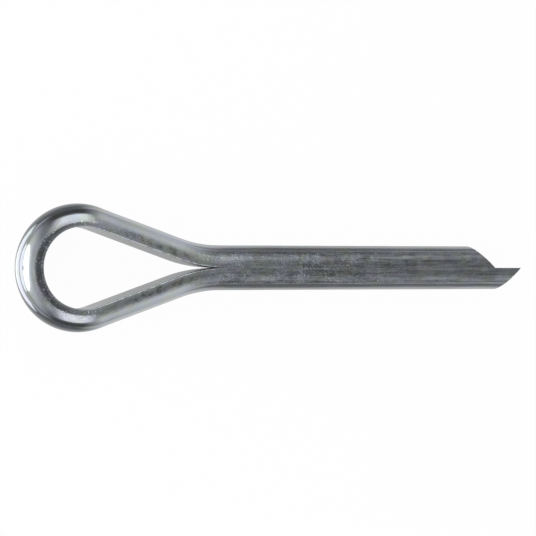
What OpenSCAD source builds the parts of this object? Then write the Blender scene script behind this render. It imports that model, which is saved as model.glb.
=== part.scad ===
// Extended-prong cotter pin, 5/16 in x 2 in.
// One length of half-round wire is bent back on itself, flat side in, into an eye and two prongs.
// The origin is on the shank's axis, where the neck ends and the round shank begins.
// +X runs along the prongs to their tips, +Y to the side of the short prong, +Z out of the eye's plane.
// All lengths are in millimetres and all angles in degrees.

/* [Wire] */
// Diameter of the closed shank, over both prongs
shank_d = 7.05; // [5.5:0.05:9]
// Radius along the two edges of the half-round wire
edge_r = 0.15; // [0.1:0.05:0.8]
// Gap between the flat faces of the two prongs
prong_gap = 0.08; // [0.04:0.01:0.3]
// Depth, all round, by which the dies that close the prongs press their wire below that of the eye
press_depth = 0.01; // [0.005:0.001:0.015]

/* [Eye] */
// Radius of the round end of the eye, to the path that the wire's flat face follows
eye_r = 6.2; // [4.5:0.1:9]
// Angle between each arm of the eye and the shank's axis
arm_angle = 19.4; // [15:0.1:28]
// Radius of the bend between arm and shank, to the round side of the wire, inside the bend
neck_r = 18.1; // [10:0.1:26]

/* [Prongs] */
// Length from where the neck fills the hole to the tip of the short prong
pin_length = 50.8; // [25:0.1:90]
// Play of the closed shank in the hole that it is made for
hole_play = 0.88; // [0.2:0.02:1.1]
// Length of the long prong past the tip of the short one
prong_step = 4.7; // [1:0.1:10]
// Angle of the short prong's cut end to the shank's axis
short_cut_angle = 46; // [35:1:70]
// Angle of the long prong's cut end to the shank's axis
long_cut_angle = 48; // [35:1:70]

/* [Hidden] */
$fn = 96;

zinc = [0.66, 0.68, 0.70];

// Wire: a prong's round side is an arc about the shank's axis, so the closed shank is a true cylinder.
shank_r = shank_d / 2;
flat_u = prong_gap / 2;
wire_t = shank_r - flat_u;
// Direction, from the shank's axis, in which the round side runs into the round of an edge
edge_turn = acos((flat_u + edge_r) / (shank_r - edge_r));

// Path of the wire's flat face: round end of the eye, arm, neck and prong
neck_flat_r = neck_r + wire_t;
arm_rise = eye_r * cos(arm_angle);
neck_rise = flat_u + neck_flat_r * (1 - cos(arm_angle));
arm_len = (arm_rise - neck_rise) / sin(arm_angle);
eye_x = -(eye_r + neck_flat_r) * sin(arm_angle) - arm_len * cos(arm_angle);

// The hole's rim meets the neck this far round its bend, and the pin's length is counted from there.
seat_angle = acos(1 - hole_play / 2 / neck_r);
short_tip_x = pin_length - neck_r * sin(seat_angle);
long_tip_x = short_tip_x + prong_step;

// How far a prong's wire runs into the neck that carries it
prong_lap = 0.2;
// Length that the cut takes off the end of a prong's wire, measured along its flat face
prong_offcut = shank_d;

// Sizes greater than the wire's section and than the whole pin, for the cutting shapes
beyond_wire = 4 * shank_r;
beyond_pin = 4 * (neck_flat_r + pin_length);

// What lies outside one rounded edge, seen from the centre of its round
module past_edge(round_r) {
    translate([-round_r - beyond_wire, -beyond_wire])
        square([beyond_wire, 2 * beyond_wire]);
    difference() {
        polygon([
            [0, 0],
            [-beyond_wire, 0],
            [-beyond_wire, beyond_wire],
            beyond_wire * [cos(edge_turn), sin(edge_turn)]
        ]);
        circle(r = round_r);
    }
}

// Half-round section with rounded edges, its flat face on the Y axis and its round side to +X,
// made larger all round by `swell`
module wire_section(swell) {
    translate([-flat_u, 0])
        difference() {
            circle(r = shank_r + swell);
            for (edge = [0, 1])
                mirror([0, edge])
                    rotate(edge_turn)
                        translate([shank_r - edge_r, 0])
                            rotate(-edge_turn)
                                past_edge(edge_r + swell);
        }
}

// Straight wire along +X, with its flat face in the XZ plane and its round side to +Y
module straight_wire(run, swell) {
    rotate([90, 0, 90])
        linear_extrude(run)
            wire_section(swell);
}

// Everything ahead of the origin, on the +X side
module ahead() {
    translate([0, -beyond_pin / 2, -beyond_pin / 2])
        cube(beyond_pin);
}

// Start of the arm, seen from the centre of the eye: the wire runs on along +X
module at_arm() {
    rotate(-arm_angle)
        translate([0, eye_r])
            children();
}

// Centre of the neck's bend
module at_neck_centre() {
    at_arm()
        translate([arm_len, neck_flat_r])
            children();
}

// Start of the prong
module at_prong() {
    at_neck_centre()
        rotate(arm_angle)
            translate([0, -neck_flat_r])
                children();
}

// Half of the eye's round end: a ring of wire, flat face in, cut at the arm and at the pin's middle plane
module half_eye() {
    intersection() {
        rotate(-arm_angle)
            difference() {
                rotate_extrude()
                    translate([eye_r, 0])
                        wire_section(press_depth);
                ahead();
            }
        rotate(90)
            ahead();
    }
}

// Bend from arm to prong: a ring of wire, flat face out, cut at both ends
module neck() {
    intersection() {
        rotate_extrude()
            translate([neck_flat_r, 0])
                mirror([1, 0])
                    wire_section(press_depth);
        ahead();
        rotate(arm_angle)
            mirror([1, 0])
                ahead();
    }
}

// Prong with its end cut at a slant, so that its tip is at the flat face
module prong(tip_x, cut_angle) {
    difference() {
        translate([-prong_lap, 0])
            straight_wire(prong_lap + tip_x + prong_offcut, 0);
        translate([tip_x, 0])
            rotate(90 - cut_angle)
                ahead();
    }
}

// One side of the pin, from the middle of the eye's round end to the tip
module half_pin(tip_x, cut_angle) {
    half_eye();
    at_arm()
        straight_wire(arm_len, press_depth);
    at_neck_centre()
        neck();
    at_prong()
        prong(tip_x, cut_angle);
}

module cotter_pin() {
    color(zinc)
        translate([eye_x, 0]) {
            half_pin(short_tip_x, short_cut_angle);
            mirror([0, 1])
                half_pin(long_tip_x, long_cut_angle);
        }
}

cotter_pin();
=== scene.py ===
import math
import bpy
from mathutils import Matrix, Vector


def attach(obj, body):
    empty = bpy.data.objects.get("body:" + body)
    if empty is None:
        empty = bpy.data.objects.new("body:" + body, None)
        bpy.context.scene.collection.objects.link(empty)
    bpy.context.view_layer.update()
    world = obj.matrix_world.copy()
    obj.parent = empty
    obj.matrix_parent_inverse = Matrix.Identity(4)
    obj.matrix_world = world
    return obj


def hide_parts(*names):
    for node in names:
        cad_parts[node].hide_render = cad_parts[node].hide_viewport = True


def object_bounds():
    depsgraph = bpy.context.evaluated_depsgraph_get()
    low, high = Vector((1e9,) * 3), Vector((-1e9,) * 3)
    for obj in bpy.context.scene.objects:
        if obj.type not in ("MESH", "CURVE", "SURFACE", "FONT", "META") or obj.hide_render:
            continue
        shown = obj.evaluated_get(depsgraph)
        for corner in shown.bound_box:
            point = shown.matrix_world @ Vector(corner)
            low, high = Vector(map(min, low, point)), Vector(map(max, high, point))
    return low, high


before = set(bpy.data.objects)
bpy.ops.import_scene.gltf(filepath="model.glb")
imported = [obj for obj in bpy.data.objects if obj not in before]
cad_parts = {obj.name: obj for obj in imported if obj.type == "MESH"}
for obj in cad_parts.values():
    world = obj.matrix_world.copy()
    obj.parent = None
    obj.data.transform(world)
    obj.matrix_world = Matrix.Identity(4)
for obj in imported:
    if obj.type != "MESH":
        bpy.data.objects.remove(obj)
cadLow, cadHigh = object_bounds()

from types import SimpleNamespace

import bmesh
import bpy
from mathutils import Matrix, Vector, noise

mm = 0.001
up = Vector((0, 0, 1))


# a small wrapper round the sockets of a node tree, so that shader maths reads as expressions
class Shader:
    def __init__(self, tree):
        self.tree = tree
        tree.nodes.clear()

    # any node: its settings first, then the values or links of its sockets
    def node(self, kind, settings=None, sockets=None, output=0):
        made = self.tree.nodes.new(kind)
        for name, value in (settings or {}).items():
            if name == "stops":
                ramp = made.color_ramp
                for i, (place, colour) in enumerate(value):
                    stop = ramp.elements[i] if i < 2 else ramp.elements.new(place)
                    stop.position = place
                    stop.color = colour
            else:
                setattr(made, name, value)
        for name, value in (sockets or {}).items():
            socket = made.inputs[name]
            if isinstance(value, Value):
                self.tree.links.new(value.socket, socket)
            else:
                socket.default_value = value
        if len(made.outputs) > 0:
            return Value(self, made.outputs[output])

    def maths(self, operation, *numbers):
        return self.node("ShaderNodeMath", {"operation": operation}, dict(enumerate(numbers)))

    def multiplied(self, first, second):
        return self.node("ShaderNodeVectorMath", {"operation": "MULTIPLY"}, {0: first, 1: second})

    def mixColours(self, share, first, second):
        settings = {"data_type": "RGBA", "clamp_factor": True}
        return self.node("ShaderNodeMix", settings, {0: share, 6: first, 7: second}, output=2)

    # from toLow at low to toHigh at high, whichever of low and high is the greater
    def smooth(self, value, low, high, toLow=0.0, toHigh=1.0):
        sockets = {0: value, 1: low, 2: high, 3: toLow, 4: toHigh}
        return self.node("ShaderNodeMapRange", {"interpolation_type": "SMOOTHSTEP"}, sockets)

    def noise(self, place, detail, roughness):
        sockets = {"Vector": place, "Scale": 1.0, "Detail": detail, "Roughness": roughness}
        return self.node("ShaderNodeTexNoise", {"noise_dimensions": "3D"}, sockets, "Fac")

    def axes(self, place, names):
        return (self.node("ShaderNodeSeparateXYZ", None, {0: place}, name) for name in names)

    def ray(self, kind):
        return self.node("ShaderNodeLightPath", None, None, "Is " + kind + " Ray")


class Value:
    def __init__(self, shader, socket):
        self.shader = shader
        self.socket = socket

    def __add__(self, other):
        return self.shader.maths("ADD", self, other)

    __radd__ = __add__

    def __sub__(self, other):
        return self.shader.maths("SUBTRACT", self, other)

    def __rsub__(self, other):
        return self.shader.maths("SUBTRACT", other, self)

    def __mul__(self, other):
        return self.shader.maths("MULTIPLY", self, other)

    __rmul__ = __mul__

    def __truediv__(self, other):
        return self.shader.maths("DIVIDE", self, other)

    def __abs__(self):
        return self.shader.maths("ABSOLUTE", self)


# the first value where the mask is 0, the second where it is 1
def fade(mask, first, second):
    return first + (second - first) * mask

def newObject(name, data):
    made = bpy.data.objects.new(name, data)
    bpy.context.collection.objects.link(made)
    return made

def objectFrom(name, mesh):
    data = bpy.data.meshes.new(name)
    mesh.to_mesh(data)
    mesh.free()
    return newObject(name, data)

def newShader(owner):
    owner.use_nodes = True
    return Shader(owner.node_tree)


view = {
    "lookAt": (8.6 * mm, -0.024 * mm, 0.0),
    "distance": 327.3 * mm,
    "lean": 21.8,            # degrees from straight above, towards the eye
    "lens": 140.3,
    "sensor": 36,
}

def placeCamera():
    camera = newObject("camera", bpy.data.cameras.new("camera"))
    lean = math.radians(view["lean"])
    back = Vector((-math.sin(lean), 0, math.cos(lean)))
    right = Vector((math.cos(lean), 0, math.sin(lean)))
    turn = Matrix((right, back.cross(right), back)).transposed().to_4x4()
    spot = Vector(view["lookAt"]) + back * view["distance"]
    camera.matrix_world = Matrix.Translation(spot) @ turn
    camera.data.lens = view["lens"]
    camera.data.sensor_width = view["sensor"]
    camera.data.clip_start = 0.01
    camera.data.clip_end = 10
    bpy.context.scene.camera = camera

placeCamera()
print("camera placed")


# the pin: half-round wire, swept from the tip of the long prong round the eye to the short one
pin = {
    "shankRadius": 3.525 * mm,
    "edgeRadius": 0.15 * mm,
    "prongGap": 0.08 * mm,
    "eyeRadius": 6.2 * mm,       # to the wire's flat face
    "armAngle": math.radians(19.4),
    "neckRadius": 18.1 * mm,     # to the wire's round side
    "shortTip": 46.833 * mm,
    "longTip": 51.533 * mm,
    "shortCut": math.radians(46),
    "longCut": math.radians(48),
    "cutRim": 0.08 * mm,         # bevel round each cut end
    "offcut": 6.0 * mm,          # length swept past each tip, for the cut to take off
    # how the forming changes the plain section
    "eyeEdge": 0.42 * mm,        # rounder upper edge in the eye
    "lowerEdge": 0.4 * mm,       # rounder lower edge up to where the prongs meet
    "prongEdge": 0.03 * mm,      # sharper where the prongs are pressed on each other
    "closedGap": 0.004 * mm,     # what is left of the gap there
    "shortSlim": 0.03 * mm,      # how much the dies press each prong below its true half round
    "longSlim": 0.07 * mm,
    "eyeSwell": 0.008,           # how much thicker the wire is in the eye
    "eyeStretch": 0.10 * mm,     # how far the eye's end is drawn out of a true round
    # unevenness left by drawing and bending the wire, and the size of its waves along and across
    "eyeWave": 0.004 * mm,
    "armWave": 0.014 * mm,
    "shankWave": 0.012 * mm,
    "waveLength": 2.6 * mm,
    "waveWidth": 2.2 * mm,
    "waveRise": (0, 1 * mm),     # distance out from the flat over which the waves rise
    # where each change sets in, from and to, counted from the middle of the eye
    "eyeEdgeAt": (9.5 * mm, 4 * mm),
    "eyeStretchAt": (13 * mm, 4.5 * mm),
    # counted from the end of the eye's bend
    "eyeSwellAt": (1.5 * mm, -1.5 * mm),
    "armWaveAt": (-3 * mm, 3 * mm),
    # counted from the start of the prong
    "lowerEdgeAt": (0, -6 * mm),
    "shankWaveAt": (-6 * mm, 2 * mm),
    "slimAt": (-5 * mm, 1 * mm),
    "pressedAt": (-2 * mm, 1 * mm),
    # fineness of the mesh
    "cell": 0.35 * mm,
    "longStep": 12,              # cells in one step of a straight stretch, before it is subdivided
    "eyeFineness": 1.3,          # more steps round the eye than its inner radius needs
    "flatCells": 12,             # across each half of the flat face
    "edgeCells": 4,
    "roundCells": 48,
    "weld": 1e-6,
    # the map: millimetres along the wire, and round a line inside the wire
    "mapDepth": 0.45,            # depth of that line, as a share of the wire's thickness
    "mapTurn": 2.9,              # units of the map to a radian
}
wireMap = "alongWire"
cutMask = "cutFace"

def pinPath():
    path = SimpleNamespace()
    path.flat = pin["prongGap"] / 2
    path.thick = pin["shankRadius"] - path.flat
    path.edgeTurn = math.acos((path.flat + pin["edgeRadius"]) / (pin["shankRadius"] - pin["edgeRadius"]))
    path.edgeZ = (pin["shankRadius"] - pin["edgeRadius"]) * math.sin(path.edgeTurn)
    path.neckFlat = pin["neckRadius"] + path.thick
    path.armSin = math.sin(pin["armAngle"])
    path.armCos = math.cos(pin["armAngle"])
    rise = pin["eyeRadius"] * path.armCos - path.flat - path.neckFlat * (1 - path.armCos)
    path.armLength = rise / path.armSin
    path.eyeX = -(pin["eyeRadius"] + path.neckFlat) * path.armSin - path.armLength * path.armCos
    # lengths along the flat face from the middle of the eye: to the arm, to the neck and to the prong
    path.toArm = pin["eyeRadius"] * (math.pi / 2 + pin["armAngle"])
    path.toNeck = path.toArm + path.armLength
    path.toProng = path.toNeck + path.neckFlat * pin["armAngle"]
    return path

path = pinPath()

def turnAbout(mesh, items, centre, axis, angle, count):
    return bmesh.ops.spin(
        mesh, geom=items, cent=centre, axis=axis, dvec=(0, 0, 0), angle=angle, steps=count)["geom_last"]

def runAlong(mesh, items, move, count):
    step = Vector(move) / count
    return bmesh.ops.spin(
        mesh, geom=items, cent=(0, 0, 0), axis=up, dvec=step, angle=0, steps=count)["geom_last"]

def weld(mesh):
    bmesh.ops.remove_doubles(mesh, verts=mesh.verts, dist=pin["weld"])

# outline of the wire, at the end of the long prong
def wireOutline(mesh, x):
    edgeY = -path.flat - pin["edgeRadius"]
    corner = math.pi - path.edgeTurn
    forward = (1, 0, 0)
    halfFlat = (0, 0, path.edgeZ)
    last = [mesh.verts.new((x, -path.flat, 0))]
    last = runAlong(mesh, last, halfFlat, pin["flatCells"])
    last = turnAbout(mesh, last, (x, edgeY, path.edgeZ), forward, corner, pin["edgeCells"])
    last = turnAbout(mesh, last, (x, 0, 0), forward, 2 * path.edgeTurn, pin["roundCells"])
    last = turnAbout(mesh, last, (x, edgeY, -path.edgeZ), forward, corner, pin["edgeCells"])
    runAlong(mesh, last, halfFlat, pin["flatCells"])
    weld(mesh)
    return list(mesh.edges)

def sweepWire(mesh):
    def bendSteps(length):
        return math.ceil(length / pin["cell"])
    def straight(ring, direction, length):
        count = math.ceil(length / (pin["longStep"] * pin["cell"]))
        return runAlong(mesh, ring, Vector(direction) * length, count)
    def neck(ring, side):
        centre = (0, side * (path.flat + path.neckFlat), 0)
        return turnAbout(mesh, ring, centre, up, pin["armAngle"], bendSteps(path.neckFlat * pin["armAngle"]))
    eyeTurn = math.pi + 2 * pin["armAngle"]
    eyeSteps = bendSteps(pin["eyeRadius"] * pin["eyeFineness"] * eyeTurn)
    longRun = pin["longTip"] + pin["offcut"]
    ring = wireOutline(mesh, longRun)
    ring = straight(ring, (-1, 0, 0), longRun)
    ring = neck(ring, -1)
    ring = straight(ring, (-path.armCos, -path.armSin, 0), path.armLength)
    ring = turnAbout(mesh, ring, (path.eyeX, 0, 0), up, -eyeTurn, eyeSteps)
    ring = straight(ring, (path.armCos, -path.armSin, 0), path.armLength)
    ring = neck(ring, 1)
    straight(ring, (1, 0, 0), pin["shortTip"] + pin["offcut"])
    weld(mesh)
    longEdges = [e for e in mesh.edges if e.calc_length() > 3 * pin["cell"]]
    bmesh.ops.subdivide_edges(mesh, edges=longEdges, cuts=pin["longStep"] - 1, use_grid_fill=True)

# where a point of the wire is: its length along the wire from the middle of the eye, positive on the side
# of the short prong, its distance out from the flat face, and the direction out from it
def wirePlace(point):
    side = 1 if point.y > 0 else -1
    if point.x >= 0:
        return side * (path.toProng + point.x), abs(point.y) - path.flat, Vector((0, side, 0))
    neckCentre = Vector((0, side * (path.flat + path.neckFlat), 0))
    out = Vector((path.armSin, side * path.armCos, 0))
    alongArm = Vector((path.armCos, -side * path.armSin, 0))
    armEnd = neckCentre - out * path.neckFlat
    level = Vector((point.x, point.y, 0))
    fromArmEnd = level - armEnd
    if fromArmEnd.dot(alongArm) > 0:
        spoke = level - neckCentre
        turned = math.atan2(-spoke.x, -side * spoke.y)
        along = side * (path.toProng - path.neckFlat * turned)
        return along, path.neckFlat - spoke.length, -spoke.normalized()
    spoke = level - Vector((path.eyeX, 0, 0))
    if spoke.dot(alongArm) > 0:
        return side * (path.toNeck + fromArmEnd.dot(alongArm)), fromArmEnd.dot(out), out
    turned = math.atan2(side * spoke.y, -spoke.x)
    return side * pin["eyeRadius"] * turned, spoke.length - pin["eyeRadius"], spoke.normalized()

# from 0 at low to 1 at high, whichever of them is the greater
def ease(value, low, high):
    t = min(1, max(0, (value - low) / (high - low)))
    return t * t * (3 - 2 * t)

# where an edge of this radius puts a point, given by its distance out from the flat and its height
def rounded(outward, height, radius):
    def centre(r):
        return Vector((r, math.sqrt((pin["shankRadius"] - r) ** 2 - (path.flat + r) ** 2)))
    base = pin["edgeRadius"]
    middle = centre(max(radius, base))
    toRound = middle + Vector((path.flat, 0))
    spoke = Vector((outward, abs(height))) - middle
    if spoke.y < -1e-9 or toRound.x * spoke.y < toRound.y * spoke.x:
        return outward, height
    if radius < base:
        moved = centre(radius) + spoke * radius / base
    else:
        moved = middle + spoke * min(1, radius / spoke.length)
    return moved.x, math.copysign(moved.y, height)

# radius of the wire's edge, at a length from the middle of the eye
def edgeAt(length, onTop):
    if onTop:
        edge = fade(ease(length, *pin["eyeEdgeAt"]), pin["edgeRadius"], pin["eyeEdge"])
    else:
        edge = fade(ease(length - path.toProng, *pin["lowerEdgeAt"]), pin["edgeRadius"], pin["lowerEdge"])
    return fade(ease(length - path.toProng, *pin["pressedAt"]), edge, pin["prongEdge"])

def waveAt(along, outward, height):
    inArm = ease(abs(along) - path.toArm, *pin["armWaveAt"])
    inShank = ease(abs(along) - path.toProng, *pin["shankWaveAt"])
    size = fade(inArm, pin["eyeWave"], pin["armWave"]) + (pin["shankWave"] - pin["armWave"]) * inShank
    place = (along / pin["waveLength"], outward / pin["waveWidth"], height / pin["waveWidth"])
    return size * noise.noise(Vector(place)) * ease(outward, *pin["waveRise"])

# the small changes that bending and pressing make to the plain section
def formWire(mesh):
    for vert in mesh.verts:
        along, plain, direction = wirePlace(vert.co)
        length = abs(along)
        outward, height = rounded(plain, vert.co.z, edgeAt(length, vert.co.z > 0))
        share = outward / path.thick
        pastNeck = length - path.toProng
        swell = pin["eyeSwell"] * outward * ease(length - path.toArm, *pin["eyeSwellAt"])
        stretch = pin["eyeStretch"] * ease(length, *pin["eyeStretchAt"])
        closing = (pin["prongGap"] - pin["closedGap"]) / 2 * (1 - share) * ease(pastNeck, *pin["pressedAt"])
        slim = (pin["shortSlim"] if along > 0 else pin["longSlim"]) * share * ease(pastNeck, *pin["slimAt"])
        fromFlat = direction * outward + up * height
        vert.co.z = height
        vert.co += direction * (outward - plain + swell + stretch - closing - slim)
        vert.co += fromFlat.normalized() * waveAt(along, outward, height)

# cuts a prong at a slant, with its tip at the flat face, and closes and bevels the cut
def cutProng(mesh, tip, angle, side):
    def onProng(face):
        middle = face.calc_center_median()
        return middle.x > 0 and middle.y * side > 0
    faces = [f for f in mesh.faces if onProng(f)]
    # each once, and in the same order every time, which a set wouldn't keep
    edges = list(dict.fromkeys(e for f in faces for e in f.edges))
    verts = list(dict.fromkeys(v for f in faces for v in f.verts))
    normal = (math.sin(angle), side * math.cos(angle), 0)
    bmesh.ops.bisect_plane(
        mesh, geom=verts + edges + faces, dist=1e-8,
        plane_co=(tip, side * path.flat, 0), plane_no=normal, clear_outer=True)
    rim = [e for e in mesh.edges if e.is_boundary and e.calc_length() > 0 and e.verts[0].co.y * side > -1e-9]
    filled = bmesh.ops.edgeloop_fill(mesh, edges=rim)["faces"][0]
    bmesh.ops.bevel(
        mesh, geom=list(filled.edges), offset=pin["cutRim"], offset_type="OFFSET",
        segments=2, profile=0.5, affect="EDGES", material=-1)

# the wire's own map, and a mask of the two cut faces
def mapWire(mesh):
    mapLayer = mesh.loops.layers.uv.new(wireMap)
    cutLayer = mesh.loops.layers.float.new(cutMask)
    halfTurn = math.pi * pin["mapTurn"]
    places = {}
    for vert in mesh.verts:
        along, outward, _ = wirePlace(vert.co)
        angle = math.atan2(vert.co.z, outward - pin["mapDepth"] * path.thick)
        places[vert] = (along / mm, angle * pin["mapTurn"])
    for face in mesh.faces:
        isCut = len(face.verts) > 20     # every other face has a few corners
        rounds = [places[v][1] for v in face.verts]
        overSeam = max(rounds) - min(rounds) > halfTurn
        for loop in face.loops:
            along, around = places[loop.vert]
            if overSeam and around < 0:
                around += 2 * halfTurn
            loop[mapLayer].uv = (along, around)
            loop[cutLayer] = 1.0 if isCut else 0.0
        face.smooth = not isCut

def buildPin():
    mesh = bmesh.new()
    sweepWire(mesh)
    formWire(mesh)
    cutProng(mesh, pin["shortTip"], pin["shortCut"], 1)
    cutProng(mesh, pin["longTip"], pin["longCut"], -1)
    bmesh.ops.dissolve_degenerate(mesh, dist=pin["weld"], edges=mesh.edges)
    bmesh.ops.recalc_face_normals(mesh, faces=mesh.faces)
    if mesh.calc_volume(signed=True) < 0:
        bmesh.ops.reverse_faces(mesh, faces=mesh.faces)
    mapWire(mesh)
    piece = objectFrom("cotterPin", mesh)
    print("pin:", len(piece.data.polygons), "faces")
    return piece


# bright zinc plate, with the drawing and forming marks of the wire, and some painted light and shade
zinc = {
    # the shank's lower tone and the arms' higher one are painted shade and painted light
    "eyeTone": 0.31,
    "armTone": 0.385,
    "shankTone": 0.228,
    "cutTone": 0.25,
    "eyeRoughness": 0.1,
    "armRoughness": 0.17,
    "shankRoughness": 0.26,
    "cutRoughness": 0.38,
    "roughnessMottled": 0.15,
    "armMottledOutside": 0.3,    # share of that outside the arms
    "coat": 0.55,
    "coatRoughness": 0.1,
    # tints, from patch to patch, and of the cut faces
    "olive": (0.885, 0.965, 0.92, 1),
    "lilac": (0.885, 0.95, 1.09, 1),
    "greener": (0.975, 1.01, 0.99, 1),
    "browner": (1.03, 0.985, 1.0, 1),
    "cutTint": (0.9, 0.96, 0.98, 1),
    "oliveArms": 0.045,          # how far the arms lean towards olive
    # in the shank, how much the tone varies: in soft and in sharp patches, specks, streaks and small strokes
    "mottled": 1.3,
    "flaked": 0.35,
    "specked": 1.3,
    "streaked": 1.7,
    "hatched": 0.5,
    "slanted": 0.7,
    "flecked": 0.9,
    "strokesLevel": 0.24,        # taken off again, so that the strokes don't lighten the whole
    # shares of these at the side of the wire, towards the tips and by the neck
    "mottledAtSide": 0.25,
    "speckedAtSide": 0.2,
    "mottledByTips": 0.65,
    "speckedByTips": 0.3,
    "streakedByTips": 1.25,
    "strokesByNeck": 0.55,
    # lighter by the neck and along the middle, and darker along the top of the short prong towards its tip
    "neckLight": 0.34,
    "centreLight": 0.17,
    "centreLightByNeck": 0.29,
    "burnished": 0.3,
    # lines left by the edges of the dies: places round the wire, on the side of the short prong and of the
    # long one, half width and lightness; and how dark the painted shade line beyond the long prong's is
    "dieLines": (3.35, 3.60),
    "dieLineWidth": 0.24,
    "dieLineLight": 0.9,
    "shadeLineDark": 0.27,
    # in the arms, dark marks and a little painted shade along the inner edge, and a painted highlight along
    # the edge itself
    "armMarks": 0.53,
    "armMarksSpecked": 0.75,
    "armShade": 0.02,
    "glintLight": 0.5,
    # in the eye, scratches inside the bend, shade by its edge, and a nick outside
    "scratchLight": 2.1,
    "eyeShade": 0.25,
    "nickDark": 0.6,
    # how mottled and how specked it is, on the side of the short prong and of the long one
    "eyeMottled": (0.5, 1.2),
    "eyeSpecked": (0.3, 1.8),
    # heights of the surface marks, in millimetres
    "dentsHigh": 0.045,
    "ticksHigh": 0.014,
    "streaksHigh": 0.006,
    "scratchesHigh": 0.003,
    "shearHigh": 0.006,
    "dentsElsewhere": 0.08,      # share of the dents and of the ticks outside the shank and the arms' inside
    "ticksElsewhere": 0.06,
    "shearScale": (300, 300, 5000),
    "flakeScale": (0.45, 1.5, 0),
    # stretches of the wire, in millimetres from the middle of the eye: where each starts and where it is full
    "stretches": {
        "nick": (0.35, 0.1),
        "bendEnd": (8, 5),
        "eye": (15, 9),
        "fromArm": (8, 14),
        "pastBend": (9, 12),
        "darkArm": (12, 17),
        "wornArm": (33, 31),
        "shank": (24, 34),
        "byNeck": (43, 35),
        "middleByNeck": (42, 34),
        "strokesFade": (47, 39),
        "tipsHalf": (50, 62),
        "marked": (70, 50),
    },
    # bands round the wire's upper half, on its map: 0 is the middle of the round side, 5.8 the wire's edge,
    # and 9.1 the middle of the flat
    "bands": {
        "onTop": (3.3, 4.0),
        "nearFlat": (3.9, 4.7),
        "byEdge": (4.45, 4.95),
        "byEdgeEnd": (5.7, 5.42),
        "centre": (4.9, 5.3),
        "burnished": (4.58, 4.78),
        "burnishedEnd": (5.4, 5.0),
        "scratched": (5.0, 5.25),
        "scratchedByEye": (4.5, 4.9),
        "scratchedEnd": (5.75, 5.5),
    },
    # fine lines along the wire: place on its map, and how far from there each starts and is full
    "lines": {
        # a line of painted shade along the long prong's flank
        "darkLine": (3.15, 0.2, 0.05),
        # the painted highlight along the arms' edge
        "wornEdge": (5.72, 0.16, 0.04),
        "nick": (2.77, 0.3, 0.08),
    },
    # patterns: marks to a millimetre along and round the wire, detail, roughness and the angle of their turn
    "patterns": {
        "mottle": (0.8, 1.5, 4.0, 0.6, 0.0),
        "specks": (4.0, 6.0, 2.0, 0.7, 0.0),
        "streaks": (0.15, 4.5, 4.0, 0.6, 0.0),
        "hatch": (4.5, 1.6, 1.0, 0.5, 0.0),
        "hatchPatches": (0.2, 0.5, 1.0, 0.5, 0.0),
        "slanted": (4.4, 1.7, 1.0, 0.5, 0.8),
        "slantedPatches": (0.25, 0.45, 1.0, 0.5, 1.5),
        "flecks": (2.6, 4.4, 2.0, 0.6, -0.3),
        "flecksPatches": (0.3, 0.9, 1.0, 0.5, 0.6),
        "scratches": (4.6, 2.4, 3.0, 0.6, 0.3),
        "scratchesPatches": (0.4, 0.6, 1.0, 0.5, 0.0),
        "dieLine": (0.3, 1.0, 2.0, 0.5, 0.0),
        "worn": (1.5, 1.0, 3.0, 0.5, 0.0),
        "ticks": (5.0, 1.3, 2.0, 0.6, 0.0),
        "hue": (0.4, 0.5, 2.0, 0.5, 0.0),
        "shade": (0.3, 0.6, 3.0, 0.5, 0.2),
    },
    # values of a pattern between which its marks turn from nothing to full
    "shows": {
        "hatch": (0.54, 0.64),
        "hatchPatches": (0.42, 0.55),
        "slanted": (0.56, 0.66),
        "slantedPatches": (0.45, 0.58),
        "flecks": (0.55, 0.63),
        "flecksPatches": (0.44, 0.56),
        "scratches": (0.54, 0.68),
        "scratchesPatches": (0.35, 0.6),
        "worn": (0.42, 0.55),
        "dark": (0.5, 0.61),
        "hue": (0.32, 0.58),
        "shade": (0.38, 0.62),
    },
}

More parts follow.
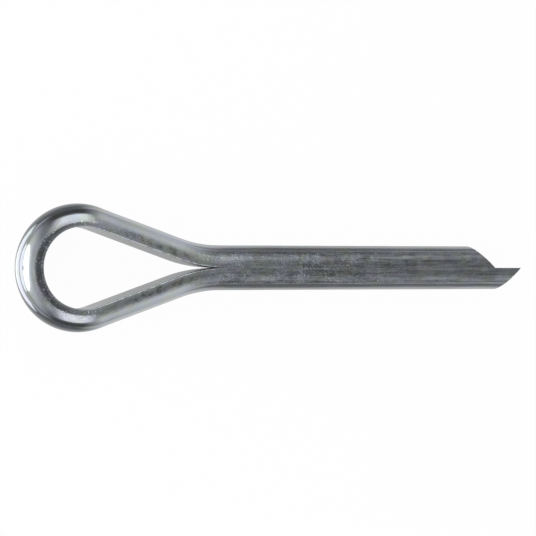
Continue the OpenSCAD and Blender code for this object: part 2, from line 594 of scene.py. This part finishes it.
def wireMasks(s):
    m = SimpleNamespace()
    place = s.node("ShaderNodeUVMap", {"uv_map": wireMap})
    along, m.around = s.axes(place, "XY")
    m.cut = s.node("ShaderNodeAttribute", {"attribute_name": cutMask}, None, "Fac")
    fromEye = abs(along)
    def stretch(name):
        return s.smooth(fromEye, *zinc["stretches"][name])
    def band(name):
        return s.smooth(m.around, *zinc["bands"][name])
    def pattern(name):
        perLength, perTurn, detail, roughness, angle = zinc["patterns"][name]
        sockets = {"Vector": place, "Angle": angle}
        turned = s.node("ShaderNodeVectorRotate", {"rotation_type": "Z_AXIS"}, sockets)
        return s.noise(s.multiplied(turned, (perLength, perTurn, 0)), detail, roughness)
    def shown(value, name):
        return s.smooth(value, *zinc["shows"][name])
    def marks(name):
        return shown(pattern(name), name)
    def line(name):
        middle, outer, inner = zinc["lines"][name]
        return s.smooth(abs(m.around - middle), outer, inner)
    m.shortSide = s.smooth(along, -1, 1)
    m.longSide = 1 - m.shortSide
    m.shank = stretch("shank")
    m.notShank = 1 - m.shank
    m.arm = stretch("fromArm") * m.notShank
    m.pastBend = stretch("pastBend") * m.notShank
    m.darkArm = stretch("darkArm") * m.notShank
    m.eye = stretch("eye")
    m.bendEnd = stretch("bendEnd")
    m.tipsHalf = stretch("tipsHalf")
    m.marked = stretch("marked")
    m.byNeck = stretch("byNeck") * m.shortSide
    m.middleByNeck = stretch("middleByNeck")
    m.strokesFade = stretch("strokesFade")
    m.onTop = band("onTop")
    m.nearFlat = band("nearFlat")
    m.centre = band("centre")
    m.byEdge = band("byEdge") * band("byEdgeEnd")
    m.burnished = m.shortSide * m.tipsHalf * band("burnished") * band("burnishedEnd")

    m.mottle = pattern("mottle")
    m.specks = pattern("specks")
    m.streaks = pattern("streaks")
    m.ticks = pattern("ticks")
    m.hatch = marks("hatch") * marks("hatchPatches")
    m.slanted = marks("slanted") * marks("slantedPatches")
    m.flecks = marks("flecks") * marks("flecksPatches")
    m.scratches = marks("scratches") * marks("scratchesPatches")
    m.dieMarks = pattern("dieLine")
    m.hue = shown(pattern("hue") - zinc["oliveArms"] * m.arm, "hue")
    m.shade = marks("shade")
    flakePlace = s.multiplied(place, zinc["flakeScale"])
    sockets = {"Vector": flakePlace, "Scale": 1.0}
    flakes = s.node("ShaderNodeTexVoronoi", {"distance": "CHEBYCHEV"}, sockets, "Color")
    m.flakes = s.node("ShaderNodeSeparateColor", None, {0: flakes}, "Red")
    # dark patches along the inner edge of the arms
    m.dark = shown(m.mottle + zinc["armMarksSpecked"] * (m.specks - 0.5), "dark") * m.byEdge
    # a painted highlight along the edge of the arms, broken in places
    m.worn = line("wornEdge") * marks("worn") * (1 - m.eye) * stretch("wornArm")
    # painted shade: a dark line along the long prong's flank
    m.darkLine = line("darkLine") * m.longSide
    m.nick = line("nick") * stretch("nick")
    # the band inside the bend that is scratched, wider at the eye's end
    bands = zinc["bands"]
    start = (fade(m.bendEnd, *pair) for pair in zip(bands["scratched"], bands["scratchedByEye"]))
    m.scratched = s.smooth(m.around, *start) * band("scratchedEnd") * m.scratches
    # straight marks of the shears over the cut ends
    onPiece = s.node("ShaderNodeTexCoord", None, None, "Object")
    m.sheared = s.noise(s.multiplied(onPiece, zinc["shearScale"]), 3.0, 0.6)
    return m

# how much lighter the shank is than its plain tone, from mark to mark, less a line of painted shade
def shankVaried(s, m):
    patches = zinc["mottled"] * fade(m.onTop, zinc["mottledAtSide"], 1) * (m.mottle - 0.5)
    patches = patches * fade(m.tipsHalf, 1, zinc["mottledByTips"])
    flaked = zinc["flaked"] * m.onTop * (m.flakes - 0.5)
    specked = zinc["specked"] * fade(m.onTop, zinc["speckedAtSide"], 1) * (m.specks - 0.5)
    specked = specked * fade(m.marked, zinc["speckedByTips"], 1)
    streaked = zinc["streaked"] * fade(m.tipsHalf, 1, zinc["streakedByTips"]) * (m.streaks - 0.5)
    strokes = zinc["hatched"] * m.hatch + zinc["slanted"] * m.slanted + zinc["flecked"] * m.flecks
    strokes = (strokes - zinc["strokesLevel"]) * fade(m.strokesFade, 1, zinc["strokesByNeck"])
    strokes = strokes * m.marked * m.onTop
    neckLight = zinc["neckLight"] * m.byNeck * fade(m.centre, 1, 0.6)
    centreLight = fade(m.middleByNeck, zinc["centreLight"], zinc["centreLightByNeck"]) * m.centre
    centreLight = centreLight * (1 - 1.3 * m.shortSide * m.tipsHalf)
    shortLine, longLine = zinc["dieLines"]
    fromLine = abs(m.around - fade(m.shortSide, longLine, shortLine))
    dieLine = zinc["dieLineLight"] * s.smooth(fromLine, zinc["dieLineWidth"], 0) * fade(m.dieMarks, 0.6, 1.4)
    varied = patches + flaked + specked + streaked + strokes + neckLight + centreLight + dieLine
    # less a darker band along the short prong's top and the line of painted shade
    return varied - zinc["burnished"] * m.burnished - zinc["shadeLineDark"] * m.darkLine

# the same for the eye
def eyeVaried(m):
    patches = fade(m.longSide * m.nearFlat, *zinc["eyeMottled"]) * (m.mottle - 0.5)
    specked = fade(m.longSide, *zinc["eyeSpecked"]) * m.nearFlat * (m.specks - 0.5)
    shade = zinc["eyeShade"] * m.byEdge * m.bendEnd
    return zinc["scratchLight"] * m.scratched - shade + patches + specked

def zincMaterial():
    material = bpy.data.materials.new("zincPlate")
    s = newShader(material)
    m = wireMasks(s)

    # from the eye's value to the arm's and the shank's
    def byStretch(arm, name):
        eyeValue, armValue, shankValue = (zinc[part + name] for part in ("eye", "arm", "shank"))
        return eyeValue + (armValue - eyeValue) * arm + (shankValue - eyeValue) * m.shank

    # painted light and shade: the arms take a lighter tone and the shank a darker one
    tone = byStretch(m.pastBend, "Tone")
    tone = tone * (1 + m.shank * shankVaried(s, m)) * (1 + m.eye * eyeVaried(m))
    # dark marks along the arms' inner edge, with a little painted shade there
    tone = tone * (1 - m.darkArm * (zinc["armMarks"] * m.dark + zinc["armShade"] * m.byEdge))
    # the painted highlight along the arms' edge, and a darker nick
    tone = tone * (1 + zinc["glintLight"] * m.worn) * (1 - zinc["nickDark"] * m.nick)
    tone = fade(m.cut, tone, zinc["cutTone"] * fade(m.sheared, 0.4, 1.6))
    hue = s.mixColours(m.hue, zinc["olive"], zinc["lilac"])
    shade = s.mixColours(m.shade, zinc["greener"], zinc["browner"])
    tint = s.mixColours(m.cut, s.multiplied(hue, shade), zinc["cutTint"])
    colour = s.node("ShaderNodeVectorMath", {"operation": "SCALE"}, {"Vector": tint, "Scale": tone})

    armOutside = m.arm * (1 - m.nearFlat)
    mottled = zinc["roughnessMottled"] * (m.mottle - 0.5) * fade(armOutside, 1, zinc["armMottledOutside"])
    rough = fade(m.cut, byStretch(m.arm, "Roughness") + mottled, zinc["cutRoughness"])

    armInside = m.arm * m.nearFlat
    shankDented = m.shank * fade(m.onTop, 0.2, 1) * fade(m.tipsHalf, 1, 0.7)
    dented = fade(armInside + shankDented, zinc["dentsElsewhere"], 1)
    ticked = fade(m.shank * fade(m.onTop, 0.12, 1), zinc["ticksElsewhere"], 1) + 0.3 * armInside
    relief = zinc["dentsHigh"] * dented * m.mottle + zinc["streaksHigh"] * fade(m.shank, 0.1, 1) * m.streaks
    relief = relief + zinc["ticksHigh"] * ticked * (m.ticks + 0.6 * m.slanted)
    relief = relief + zinc["scratchesHigh"] * m.eye * m.scratches
    relief = fade(m.cut, relief, zinc["shearHigh"] * m.sheared)
    # the marks are hollows
    sockets = {"Strength": 1.0, "Distance": 1.0 * mm, "Height": relief}
    bump = s.node("ShaderNodeBump", {"invert": True}, sockets)
    shader = s.node("ShaderNodeBsdfPrincipled", None, {
        "Base Color": colour, "Metallic": 1.0, "Roughness": rough, "Normal": bump,
        "Coat Weight": zinc["coat"], "Coat Roughness": zinc["coatRoughness"]})
    s.node("ShaderNodeOutputMaterial", None, {"Surface": shader})
    return material

piece = buildPin()
piece.data.materials.append(zincMaterial())
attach(piece, "root")
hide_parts("cotter_pin")
print("pin finished")


# the floor is paper that the camera sees as white and the metal sees as a light field, shaded near the wire
paper = {
    "radius": 3.0,
    "colour": 0.9,
    "inMetal": 0.3,              # how much of the paper's own light is seen in the metal
    "whiteShare": 0.97,          # the rest of the floor's look is paper, which takes the shadow
    "glossRoughness": 0.1,
    # grazing angles, 0 from straight above and 1 along the floor, at which the paper turns from matt to
    # shiny, and how shiny it is before and after
    "shineByEye": (0.75, 0.95, 0, 0.6),
    "shineByShank": (0.55, 0.8, 0, 0.9),
    # the same for how white the metal sees the floor
    "whiteByEye": (0.67, 0.12, 0, 0.5),
    "whiteByArms": (0.87, 0.62),
    "whiteByNeck": (0.58, 0.3),
    "whiteByTips": (0.68, 0.39),
    "whiteUnderWire": (0.1, 0.3, 0.42, 1),
    # where the one turns into the other, in millimetres along the pin
    "byArms": (-20, -13),
    "byShankShine": (-3, 3),
    "byShank": (1, 6),
    "byTips": (12, 42),
    "pastEnd": (-34, -40),
    "pastEndAcross": (50, 30),
}

def floorMaterial():
    material = bpy.data.materials.new("floorPaper")
    s = newShader(material)
    inMetal = s.ray("Glossy") + s.ray("Transmission")
    tone = paper["colour"] * (1 - (1 - paper["inMetal"]) * inMetal)
    grey = s.node("ShaderNodeCombineColor", None, {0: tone, 1: tone, 2: tone})
    matt = s.node("ShaderNodeBsdfDiffuse", None, {"Color": grey})
    sockets = {"Color": (1, 1, 1, 1), "Roughness": paper["glossRoughness"]}
    gloss = s.node("ShaderNodeBsdfGlossy", None, sockets)
    grazing = s.node("ShaderNodeLayerWeight", None, {"Blend": 0.5}, "Facing")
    spot = s.node("ShaderNodeTexCoord", None, None, "Object")
    along, across = (axis / mm for axis in s.axes(spot, "XY"))
    def stretch(name):
        return s.smooth(along, *paper[name])
    def atAngle(name):
        return s.smooth(grazing, *paper[name])
    # the paper shines at a low angle
    shine = fade(stretch("byShankShine"), atAngle("shineByEye"), atAngle("shineByShank"))
    glossyPaper = s.node("ShaderNodeMixShader", None, {0: shine, 1: matt, 2: gloss})
    white = s.node("ShaderNodeEmission", None, {"Color": (1, 1, 1, 1), "Strength": 1.0})
    # how white the metal sees the floor, by the eye, the arms and the shank, and past the eye's end
    nearWire = atAngle("whiteUnderWire")
    angles = (fade(stretch("byTips"), *pair) for pair in zip(paper["whiteByNeck"], paper["whiteByTips"]))
    byEye = atAngle("whiteByEye")
    byArms = nearWire * atAngle("whiteByArms")
    byShank = nearWire * s.smooth(grazing, *angles)
    atEnd = stretch("pastEnd") * s.smooth(abs(across), *paper["pastEndAcross"])
    seen = byEye + (byArms - byEye) * stretch("byArms") + (byShank - byArms) * stretch("byShank")
    seen = seen + (1 - byEye) * atEnd
    share = paper["whiteShare"] * s.ray("Camera") + seen * inMetal
    surface = s.node("ShaderNodeMixShader", None, {0: share, 1: glossyPaper, 2: white})
    s.node("ShaderNodeOutputMaterial", None, {"Surface": surface})
    return material

def buildFloor():
    mesh = bmesh.new()
    underPin = Matrix.Translation((0, 0, cadLow.z))
    bmesh.ops.create_circle(mesh, cap_ends=True, radius=paper["radius"], segments=64, matrix=underPin)
    floor = objectFrom("floor", mesh)
    floor.data.materials.append(floorMaterial())


sky = {
    # overhead, from the eye's side to the tips': directions along the pin, and the light at each
    "overhead": (0.05, 0.4, 0.275, 0.57),
    # light near the horizon and half way up: angle from the tips' end (0) to the eye's (180), and strength
    "low": [
        (0, 1.0), (20, 0.85), (35, 1.05), (50, 1.28), (60, 0.6), (72, 0.14),
        (106, 0.16), (116, 0.5), (130, 1.0), (150, 1.5), (165, 2.4), (180, 3.35)],
    "middle": [
        (0, 0.36), (30, 0.34), (50, 0.5), (62, 0.5), (90, 0.5), (106, 0.9),
        (118, 0.9), (130, 0.7), (150, 1.0), (165, 1.12), (180, 1.18)],
    "strongest": 4,
    "lowToMiddle": (18, 42),     # heights between which the one turns into the other, in degrees
    "middleToTop": (49, 67),
    "longSideLow": 1.1,          # share of the low and the middle light, on the side of the long prong
    "longSideMiddle": 0.75,
    "longSideRaised": 2,
    "longSideAcross": (0.1, -0.1),
    "longSideAlong": (0, 0.3),
    # darker past the eye's end of the short side's light box: how much, and directions along and across
    "shadeBeside": 0.35,
    "besideAlong": (-0.15, -0.35),
    "besideAlongEnd": (-0.75, -0.5),
    "besideAcross": (0.4, 0.65),
    # a long light box over each side: its angles from straight overhead and its strength, and the ends
    "shortSideBox": (33, 67, 0.97),
    "longSideBox": (40, 75, 0.8),
    "boxEnds": (-0.3, 0.44),
    "boxEdge": 7,
    "boxEndEdge": 0.06,
}

def buildWorld():
    world = bpy.data.worlds.new("studio")
    bpy.context.scene.world = world
    s = newShader(world)
    direction = s.node("ShaderNodeTexCoord", None, None, "Generated")
    x, y, z = s.axes(direction, "XYZ")
    around = abs(s.maths("ARCTAN2", y, x)) / math.pi
    height = s.maths("ARCSINE", z) * math.degrees(1)
    lean = s.maths("ARCTAN2", abs(y), z) * math.degrees(1)
    longSide = s.smooth(y, *sky["longSideAcross"]) * s.smooth(x, *sky["longSideAlong"])
    onShortSide = s.maths("GREATER_THAN", y, 0)

    def level(stops):
        most = sky["strongest"]
        greys = [(angle / 180, (v / most, v / most, v / most, 1)) for angle, v in stops]
        return s.node("ShaderNodeValToRGB", {"stops": greys}, {"Fac": around}) * most

    low = level(sky["low"]) * fade(longSide, 1, sky["longSideLow"])
    middle = level(sky["middle"]) * fade(longSide, 1, sky["longSideMiddle"])
    overhead = s.smooth(x, *sky["overhead"])
    strength = fade(s.smooth(height + sky["longSideRaised"] * longSide, *sky["lowToMiddle"]), low, middle)
    strength = fade(s.smooth(height, *sky["middleToTop"]), strength, overhead)
    beside = s.smooth(x, *sky["besideAlong"]) * s.smooth(x, *sky["besideAlongEnd"])
    beside = beside * s.smooth(y, *sky["besideAcross"])
    strength = strength * (1 - sky["shadeBeside"] * beside)

    near, far, boxLevel = (
        fade(onShortSide, long, short) for long, short in zip(sky["longSideBox"], sky["shortSideBox"]))
    edge, endEdge = sky["boxEdge"], sky["boxEndEdge"]
    start, end = sky["boxEnds"]
    box = s.smooth(lean - near, -edge, edge) * s.smooth(lean - far, edge, -edge)
    box = box * s.smooth(x, start - endEdge, start + endEdge) * s.smooth(x, end + endEdge, end - endEdge)
    strength = fade(box, strength, boxLevel)
    strength = fade(s.ray("Camera"), strength, 1)     # white behind the floor's edge
    background = s.node("ShaderNodeBackground", None, {"Color": (1, 1, 1, 1), "Strength": strength})
    s.node("ShaderNodeOutputWorld", None, {"Surface": background})


# lamps, in millimetres: the radiance is how bright the metal sees the panel
panels = {
    # at the eye's end, two on the floor close to it, and one standing further out
    "panelNear": {
        "centre": (-35.75, 0, -3.45), "towards": (-35.75, 0, 0), "across": (0, 1, 0),
        "size": (26, 5.3), "radiance": 1.85, "shape": "RECTANGLE"},
    "panelMiddle": {
        "centre": (-60.1, 0, -3.45), "towards": (-60.1, 0, 0), "across": (0, 1, 0),
        "size": (34, 39.8), "radiance": 1.35, "shape": "ELLIPSE"},
    "panelFar": {
        "centre": (-95, 0, 6), "towards": (-32, 0, 6), "across": (0, 1, 0),
        "size": (78, 54), "radiance": 2.4, "shape": "ELLIPSE"},
}
# over each side, two panels with their ends apart, so that the light falls off softly: both ends, how far
# the panel is lifted outwards, and its radiance
sidePanels = {
    "Wide": (-50, 28, 0, 0.5),
    "Narrow": (-40, 18, 4, 0.65),
}

def softbox(name, centre, towards, across, size, radiance, shape="RECTANGLE"):
    centre, towards, across = Vector(centre) * mm, Vector(towards) * mm, Vector(across)
    lamp = bpy.data.lights.new(name, "AREA")
    lamp.shape = shape
    lamp.size, lamp.size_y = size[0] * mm, size[1] * mm
    lamp.energy = radiance * math.pi * lamp.size * lamp.size_y
    box = newObject(name, lamp)
    back = (centre - towards).normalized()
    turn = Matrix((across, back.cross(across), back)).transposed()
    box.matrix_world = Matrix.Translation(centre) @ turn.to_4x4()
    box.visible_camera = False

def placeLamps():
    for name, panel in panels.items():
        softbox(name, **panel)
    for name, (start, end, lift, radiance) in sidePanels.items():
        middle = (start + end) / 2
        softbox(
            "short" + name, (middle, 78 + lift, 76 + lift), (middle, 8, 2), (1, 0, 0),
            (end - start, 80), radiance)
        softbox(
            "long" + name, (middle + 3, -86 - lift, 64 + lift), (middle + 3, -8, 2), (1, 0, 0),
            (end - start - 6, 73), 1.15 * radiance)

buildFloor()
buildWorld()
placeLamps()
bpy.context.scene.view_settings.view_transform = "Standard"
print("studio built")
